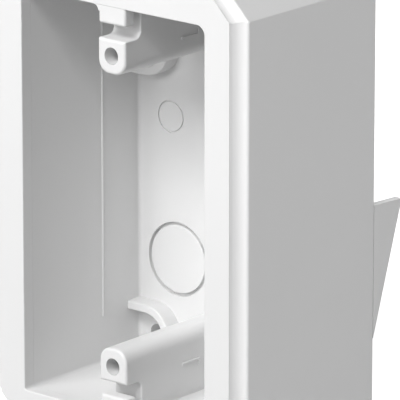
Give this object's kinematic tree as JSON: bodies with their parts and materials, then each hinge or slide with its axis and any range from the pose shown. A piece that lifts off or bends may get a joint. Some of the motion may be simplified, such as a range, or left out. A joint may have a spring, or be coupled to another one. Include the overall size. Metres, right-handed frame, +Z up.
{
  "type": "surface mount wiring box",
  "caption": "Deep rectangular white plastic surface box, open at the front: a housing with a raised front frame pulls off an inner box that has device posts and knockouts.",
  "frame": {"origin": "centre of the box on the wall plane, where the base's rear rim meets the wall", "axes": "+Z up along the long side, the open front faces -Y, +X to the right seen from the front; +Y into the wall"},
  "size_m": [0.086, 0.0659, 0.133],
  "materials": {
    "housing_plastic": "white moulded plastic, fine satin",
    "base_plastic": "white moulded plastic, satin"
  },
  "bodies": {
    "base": {"base_plate": "base_plastic", "base_rim": "base_plastic", "right_cavity_wall": "base_plastic", "left_cavity_wall": "base_plastic", "top_cavity_wall": "base_plastic", "bottom_cavity_wall": "base_plastic", "right_wall_rib": "base_plastic", "left_wall_rib": "base_plastic", "upper_device_post": "base_plastic", "lower_device_post": "base_plastic", "upper_right_screw_barrier": "base_plastic", "upper_left_screw_barrier": "base_plastic", "lower_right_screw_barrier": "base_plastic", "lower_left_screw_barrier": "base_plastic", "upper_right_screw_collar": "base_plastic", "upper_left_screw_collar": "base_plastic", "lower_right_screw_collar": "base_plastic", "lower_left_screw_collar": "base_plastic", "large_knockout_left": "base_plastic", "large_knockout_right": "base_plastic", "small_knockout_left": "base_plastic", "small_knockout_right": "base_plastic"},
    "housing": {"front_frame": "housing_plastic", "right_outer_wall": "housing_plastic", "left_outer_wall": "housing_plastic", "top_outer_wall": "housing_plastic", "bottom_outer_wall": "housing_plastic", "right_spur": "housing_plastic", "left_spur": "housing_plastic"}
  },
  "joints": [
    {"name": "housing_pull_off", "type": "slide", "parent": "base", "child": "housing", "axis": [0, -1, 0], "range_m": [0, 0.06]}
  ]
}
